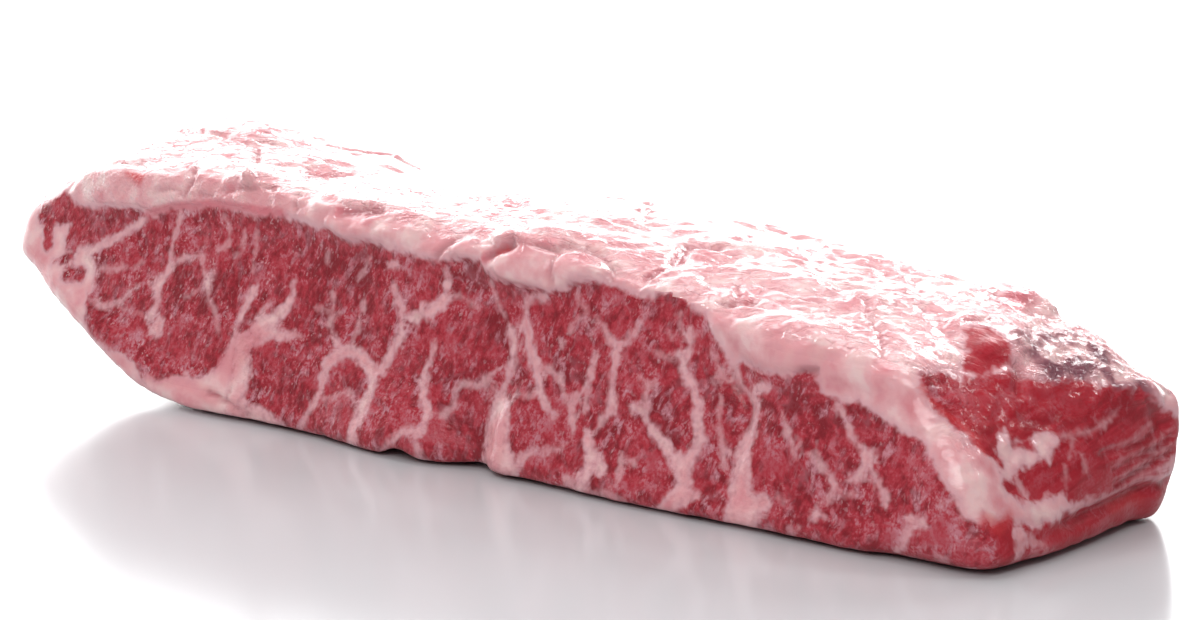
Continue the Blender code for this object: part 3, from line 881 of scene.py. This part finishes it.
def marbled_beef(settings):
    """Raw beef, cut and wet: dark crimson lean full of pale flecks, seams and cap of pink-white fat.

    The film of juice gives both a soft gloss, sharper on the skin of the cap.
    """
    material, shader = surface("raw_marbled_beef_wet_cut", {
        "IOR": JUICE_IOR, "Coat IOR": JUICE_IOR, "Coat Roughness": 0.06, "Subsurface Weight": 0.22,
        "Subsurface Radius": (1.0, 0.45, 0.35), "Subsurface Scale": 1.2 * MM})
    put = partial(add, material.node_tree)
    at = put("TexCoord").outputs["Object"]
    reads = {name: put("Attribute", attribute_name=name).outputs["Fac"] for name in MARBLING}
    grain = reads["grain"]

    # Lean: slow clouds of dark and bright red, and short pale streaks that sway with the fibres.
    cloud = put("TexNoise", (at, 1000.0 / CLOUD_SIZE, 3.0))
    sway = put("TexNoise", (at, 1000.0 / FIBRE_SWAY, 1.0))
    sway = put("VectorMath MULTIPLY_ADD", (sway.outputs["Color"], (0.006, 0.006, 0.006), at))
    drawn = put("Mapping", {"Vector": sway, "Rotation": (0.1, -0.2, 0.0),
                            "Scale": (1000.0 / FIBRE_WIDTH, 1000.0 / FIBRE_WIDTH, 1000.0 / FIBRE_LENGTH)})
    streak = put("TexNoise", {"Vector": drawn, "Scale": 1.0, "Detail": 4.0, "Roughness": 0.52,
                              "Distortion": 0.15})

    # Spaces that are turned, and stretched to the sizes of what lies in them.
    laid = {}
    for name, place, turn, sizes in (
            ("strokes", sway, (0.0, 0.35, 0.0), STROKE_SIZES),
            ("painted_glints", sway, (0.0, 0.25, 0.0), GLINT_SPECK_SIZES),
            ("end", at, (0.26, 0.0, 0.0), END_FIBRE_SIZES),
            ("folds", at, (0.0, 0.0, 0.25), (1.9, 1.0, 1.0))):
        laid[name] = put("Mapping", {"Vector": place, "Rotation": turn, "Scale": sizes},
                         vector_type="TEXTURE")
    stroke = put("TexNoise", {"Vector": laid["strokes"], "Scale": 1.0, "Detail": 3.0, "Roughness": 0.55,
                              "Distortion": 0.4})

    # Soft edges: the distances are pushed in and out by noise before they are cut off.
    wobble = put("TexNoise", {"Vector": at, "Scale": 1000.0 / SEAM_WOBBLE, "Detail": 1.6, "Roughness": 0.5,
                              "Distortion": 0.25})
    push = put("MapRange", (wobble, 0.3, 0.7, -0.75, 0.75))
    feather = put("TexNoise", (at, 1000.0 / FEATHER_SIZE, 1.0))
    fray = put("MapRange", (feather, 0.3, 0.7, 0.26, -0.26))
    push = put("Math ADD", (push, fray))
    across = put("Math ABSOLUTE", (reads["seam_offset"],))
    line = put("Math SUBTRACT", (across, reads["seam_half"]))
    near = put("Math SUBTRACT", (reads["seam_gap"], 0.45))
    seam = put("Math MAXIMUM", (line, near))
    seam = put("Math ADD", (seam, push))
    mass = put("Math ADD", (reads["fat_edge"], push))
    either = put("Math MINIMUM", (seam, mass))
    thick = put("MapRange SMOOTHSTEP", (either, 0.0, -3.0))
    seam = put("MapRange SMOOTHSTEP", (seam, 1.05, -0.9))
    body = put("MapRange", (reads["seam_half"], 0.1, 1.4, 0.22, 1.0))
    seam = put("Math MULTIPLY", (seam, body))
    clear = put("MapRange", (feather, 0.3, 0.62, 0.76, 1.0))
    clear = put("Math MAXIMUM", (clear, thick))
    seam = put("Math MULTIPLY", (seam, clear))
    mass = put("MapRange SMOOTHSTEP", (mass, 0.95, -0.95))
    fat = put("Math MAXIMUM", (seam, mass))

    # On the blunt end the fibres lie along the surface, and the lean is a plainer, deeper red, brightened as
    # painted light on the end.
    drawn = put("TexNoise", {"Vector": laid["end"], "Scale": 1.0, "Detail": 3.0, "Distortion": 0.8})
    drawn = put("Math MULTIPLY_ADD", (drawn, 1.1, -0.01))
    streak = put("Mix", (grain, streak, drawn))
    speck = put("TexNoise", (at, 1000.0 / SPECK_SIZE, 1.0))
    plain = put("Math SUBTRACT", (1.0, grain))
    cloud = put("Math MULTIPLY_ADD", (cloud, 0.75, 0.15))
    milky = put("MapRange SMOOTHSTEP", (stroke, 0.5, 0.64, 0.0, 0.72))
    tone = put("Math MULTIPLY_ADD", (streak, 0.95, cloud))
    weight = put("Math MULTIPLY_ADD", (grain, -0.05, 0.17))
    # The tone tables darken and brighten the lean: its own tones, painted shade under the cap and in the
    # grooves of the blunt end, painted light on the end's foot.
    for value, share in ((speck, weight), (grain, 0.03), (reads["tone_and_shading"], 0.18)):
        tone = put("Math MULTIPLY_ADD", (value, share, tone))
    bright = put("MapRange SMOOTHSTEP", (tone, 0.87, 1.23))
    lean = put("Mix RGBA", (bright, settings.lean_dark, settings.lean_bright))
    # The deep red of the blunt end, brightened as painted light on the end.
    deep = put("Math MULTIPLY_ADD", (reads["tone_and_shading"], 0.22, 0.56))
    deep = put("Math MULTIPLY", (grain, deep), use_clamp=True)
    lean = put("Mix RGBA", (deep, lean, settings.lean_deep))
    pale = put("Math MULTIPLY_ADD", (speck, 0.5, tone))
    pale = put("MapRange SMOOTHSTEP", (pale, 1.33, 1.68, 0.0, 0.62))

    busy = put("TexNoise", (at, 1000.0 / PATCH_SIZE, 2.0))
    busy = put("MapRange", (busy, 0.38, 0.6, 0.3, 1.25))
    pale = put("Math MULTIPLY", (pale, busy))
    grains = put("MapRange", (speck, 0.36, 0.56, 0.5, 1.0))
    milky = put("Math MULTIPLY", (milky, grains))
    milky = put("Math MULTIPLY", (milky, busy), use_clamp=True)
    pale = put("Math MAXIMUM", (pale, milky))
    most = put("MapRange", (grain, 0.0, 1.0, 1.0, 0.26))
    pale = put("Math MULTIPLY", (pale, most))
    # Painted glints: tiny bright specks that stand for the glints of the wet film on the lean.
    crumb = put("TexNoise", (laid["painted_glints"], 1.0, 1.5, 0.6))
    crumb = put("MapRange SMOOTHSTEP", (crumb, 0.58, 0.7))
    strewn = put("MapRange", (busy, 0.3, 1.25, 0.05, 0.6))
    along = put("SeparateXYZ", (at,)).outputs["X"]
    fewer = put("MapRange", (along, -0.085, -0.035, 0.8, 0.45))
    strewn = put("Math MULTIPLY", (strewn, fewer))
    for share in (strewn, plain):
        crumb = put("Math MULTIPLY", (crumb, share))

    # Lines where a slow noise crosses its middle: threads of fat, folds and hair creases of the skin.
    crests = {}
    for name, place, size, detail, roughness, swirl in (
            ("vein", at, VEIN_SIZE, 1.6, 0.5, 0.4), ("fold", laid["folds"], CRUMPLE_SIZE, 4.0, 0.6, 0.7),
            ("hair", laid["folds"], CREASE_SIZE, 2.0, 0.5, 0.6)):
        crest = put("TexNoise", {"Vector": place, "Scale": 1000.0 / size, "Detail": detail,
                                 "Roughness": roughness, "Distortion": swirl})
        crest = put("Math SUBTRACT", (crest, 0.5))
        crests[name] = put("Math ABSOLUTE", (crest,))

    # Faint threads of fat that join the seams, here and there.
    vein = put("MapRange SMOOTHSTEP", (crests["vein"], 0.07, 0.0))
    shown = put("TexNoise", (at, 1000.0 / VEIN_PATCH, 2.0))
    shown = put("MapRange", (shown, 0.45, 0.63, 0.0, 0.3))
    for share in (shown, plain):
        vein = put("Math MULTIPLY", (vein, share))
    pale = put("Math MAXIMUM", (pale, vein))
    flecked = put("Mix RGBA", (pale, lean, settings.fleck))
    flecked = put("Mix RGBA", (crumb, flecked, settings.crumb))

    # Folds of the skin: valleys, sharp at the bottom, that also get painted shade down in them.
    fold, hair = crests["fold"], crests["hair"]
    creased = put("MapRange", (cloud, 0.37, 0.49, 0.1, 1.0))
    creased = put("Math MULTIPLY", (creased, reads["crinkle"]))
    pit = put("MapRange SMOOTHSTEP", (hair, 0.05, 0.01, 0.0, 0.8))
    pit = put("Math MULTIPLY", (pit, creased))
    hair = put("MapRange SMOOTHSTEP", (hair, 0.0, 0.11, -1.0, 0.0))
    hair = put("Math MULTIPLY", (hair, creased))
    valley_shade = put("MapRange", (fold, 0.045, 0.0, 0.0, 0.55))
    valley_shade = put("Math MULTIPLY", (valley_shade, reads["crinkle"]))

    # Fat: creamy pink, rose where the meat is close under it, and painted shade down in the folds.
    tint = put("TexNoise", (at, 1000.0 / TINT_SIZE, 4.0))
    rosy = put("MapRange", (tint, 0.42, 0.7, 0.0, 0.75))
    cream = put("MapRange", (tint, 0.5, 0.34, 0.0, 0.8))
    cream = put("Mix RGBA", (cream, settings.fat, settings.fat_cream))
    rosy = put("Math MULTIPLY", (rosy, thick))
    rosy = put("Math MAXIMUM", (rosy, reads["blush"]))
    # Painted shade down in the creases and folds.
    fold_shade = put("Math ADD", (reads["hollow_shade"], valley_shade), use_clamp=True)
    fatty = put("Mix RGBA", (thick, settings.seam_fat, cream))
    patchy = put("MapRange SMOOTHSTEP", (tint, 0.38, 0.58, 0.15, 1.0))
    patchy = put("Math MULTIPLY", (patchy, reads["silver"]))
    for share, tinge in ((rosy, settings.fat_rose), (fold_shade, settings.fat_fold), (patchy, settings.silver_skin)):
        fatty = put("Mix RGBA", (share, fatty, tinge))
    colour = put("Mix RGBA", (fat, flecked, fatty))
    colour = put("Mix RGBA", (reads["stain"], colour, settings.stain))

    # Relief: grain in the lean, folds and sharp little creases in the skin.
    fine = put("TexNoise", (at, 1000.0 / SKIN_SIZE, 2.0))
    calm = put("MapRange", (mass, 0.0, 1.0, 0.75, 0.14))
    calm = put("Math MULTIPLY_ADD", (reads["beads"], 1.5, calm))
    smooth = put("Math MULTIPLY_ADD", (grain, -0.65, 1.0))
    calm = put("Math MULTIPLY", (calm, smooth))
    fine = put("Math MULTIPLY", (fine, calm))
    fine = put("Math MULTIPLY_ADD", (hair, 0.85, fine))
    depth = put("MapRange", (reads["crinkle"], 0.0, 1.0, 0.5, 2.4))
    height = put("Math MULTIPLY_ADD", (fold, depth, fine))
    bump = put("Bump", {"Strength": 0.8, "Distance": 0.5 * MM, "Height": height})

    rough = put("MapRange", (reads["wet"], 0.0, 1.0, 0.36, 0.15))
    rough = put("Math MULTIPLY_ADD", (pit, 0.7, rough))
    coat = put("MapRange", (reads["wet"], 0.0, 1.0, 0.38, 0.9))
    bare = put("Math MULTIPLY_ADD", (grain, -0.26, coat))
    bare = put("Math MULTIPLY_ADD", (pit, -1.2, bare), use_clamp=True)
    for socket, output in (("Base Color", colour.outputs[2]), ("Normal", bump.outputs[0]),
                           ("Roughness", rough.outputs[0]), ("Coat Weight", bare.outputs[0])):
        material.node_tree.links.new(output, shader.inputs[socket])
    return material


def polished_floor(settings):
    """Polished pale stone: a soft grey body under a mirror gloss."""
    return surface("floor_polished_pale", {"Base Color": settings.floor, "Roughness": 0.16, "IOR": 1.45})[0]


def white_studio(turn):
    """A pale room with a bright wall behind the steak, darker low down; the camera sees plain white."""
    world = bpy.data.worlds.new("white_studio")
    world.use_nodes = True
    world.node_tree.nodes.clear()
    put = partial(add, world.node_tree)
    to = put("TexCoord").outputs["Generated"]
    away = (-math.sin(turn), math.cos(turn), 0.0)
    behind = put("VectorMath DOT_PRODUCT", (to, away)).outputs["Value"]
    wall = put("MapRange SMOOTHSTEP", (behind, 0.25, 0.7, 0.0, WALL_GLOW))
    up = put("SeparateXYZ", (to,)).outputs["Z"]
    right = (math.cos(turn), math.sin(turn), 0.0)
    aside = put("VectorMath DOT_PRODUCT", (to, right)).outputs["Value"]
    up = put("Math MULTIPLY_ADD", (aside, 0.7, up))
    low = put("MapRange SMOOTHSTEP", (up, 0.47, 0.55, 1.0, 0.05))
    level = put("Math MULTIPLY_ADD", (wall, low, ROOM_GLOW))
    path = put("LightPath").outputs["Is Camera Ray"]
    seen = put("Mix", (path, level, 1.0))
    studio = put("Background", {"Strength": seen})
    put("OutputWorld", {"Surface": studio})
    return world


COLOURS = (
    ("lean_dark", "Dark lean", "Lean meat in its darker clouds", 0x881C28),
    ("lean_bright", "Bright lean", "Lean meat in its brighter clouds", 0xB6303E),
    # deeper red of the blunt end, brightened as painted light on the end
    ("lean_deep", "Deep lean", "Lean meat of the blunt end", 0xAF1928),
    ("fleck", "Flecks", "Flecks of fat between the fibres", 0xCC8A96),
    # painted glints of the wet film on the lean
    ("crumb", "Glints", "Tiny bright crumbs of fat", 0xE8BCC2),
    ("stain", "Stain", "Red of the meat in the fat", 0xCE3A40),
    ("fat_cream", "Cream fat", "Thick fat where it is palest", 0xF3D0CD),
    ("fat", "Fat", "Thick fat", 0xF1BCBF),
    ("fat_rose", "Thin fat", "Fat with meat close under it", 0xD97A84),
    # painted shade down in the folds of the fat
    ("fat_fold", "Folds", "Bottom of the folds in the fat", 0xBE7C82),
    ("seam_fat", "Seams", "Fat of the seams in the lean", 0xDFA8AF),
    ("silver_skin", "Silver skin", "Skin over the meat at the blunt end", 0x86505C),
    ("floor", "Floor", "Polished floor", 0xC9CBCE),
)


class SteakSettings(bpy.types.PropertyGroup):
    """Colours and sizes that a user may change."""

    __annotations__ = {
        key: bpy.props.FloatVectorProperty(name=name, description=words, subtype="COLOR", size=4,
                                           min=0.0, max=1.0, default=linear(code))
        for key, name, words, code in COLOURS}
    mesh_spacing: bpy.props.FloatProperty(
        name="Mesh spacing", description="Width of the faces of the wet surface", unit="LENGTH", precision=4,
        min=0.001, default=VOXEL)
    relief: bpy.props.FloatProperty(
        name="Relief", description="How far the folds and lips of the fat stand out", min=0.0, max=1.5,
        default=1.0)


class STEAK_OT_meat(bpy.types.Operator):
    """Build the steak over its CAD solid"""

    bl_idname = "steak.meat"
    bl_label = "Steak"

    def execute(self, context):
        piece = even_mesh(context)
        carve(piece.data, context.scene.steak)
        bpy.ops.object.shade_smooth()
        piece.data.materials.clear()
        piece.data.materials.append(marbled_beef(context.scene.steak))
        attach(piece, "root")
        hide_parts("chuck_flap_steak")
        return {"FINISHED"}


class STEAK_OT_stage(bpy.types.Operator):
    """Lay the floor and set the lights and the camera"""

    bl_idname = "steak.stage"
    bl_label = "Stage"

    def execute(self, context):
        bpy.ops.object.select_all(action="DESELECT")
        bpy.ops.mesh.primitive_plane_add(size=FLOOR_SIZE, location=(0.0, 0.0, FLOOR_TOP))
        floor = context.object
        floor.name = "floor"
        bpy.ops.object.transform_apply(location=True, rotation=True, scale=True)
        floor.data.materials.append(polished_floor(context.scene.steak))

        turn = math.radians(CAMERA_TURN)
        context.scene.world = white_studio(turn)

        for name, place, size, power in LIGHTS:
            light = bpy.data.lights.new(name, "AREA")
            light.size = size
            light.energy = power
            lamp = bpy.data.objects.new(name, light)
            context.scene.collection.objects.link(lamp)
            lamp.location = place
            lamp.rotation_euler = (-Vector(place)).to_track_quat("-Z", "Y").to_euler()

        lens = bpy.data.cameras.new("camera")
        lens.lens = LENS
        camera = bpy.data.objects.new("camera", lens)
        context.scene.collection.objects.link(camera)
        camera.location = CAMERA_PLACE
        camera.rotation_euler = (math.radians(90.0 - CAMERA_PITCH), 0.0, turn)
        context.scene.camera = camera
        context.scene.view_settings.view_transform = "Standard"
        return {"FINISHED"}


class STEAK_PT_panel(bpy.types.Panel):
    """The steak's pieces in the sidebar"""

    bl_idname = "STEAK_PT_panel"
    bl_label = "Chuck Flap Steak"
    bl_space_type = "VIEW_3D"
    bl_region_type = "UI"
    bl_category = "Steak"

    def draw(self, context):
        for name in SteakSettings.__annotations__:
            self.layout.prop(context.scene.steak, name)
        for operator in OPERATORS:
            self.layout.operator(operator.bl_idname)


OPERATORS = (STEAK_OT_meat, STEAK_OT_stage)
CLASSES = (SteakSettings, *OPERATORS, STEAK_PT_panel)


def register():
    for cls in CLASSES:
        bpy.utils.register_class(cls)
    bpy.types.Scene.steak = bpy.props.PointerProperty(type=SteakSettings)


def unregister():
    del bpy.types.Scene.steak
    for cls in reversed(CLASSES):
        bpy.utils.unregister_class(cls)


def main():
    """Build every piece."""
    register()
    bpy.ops.steak.meat()
    bpy.ops.steak.stage()


if __name__ == "__main__":
    main()
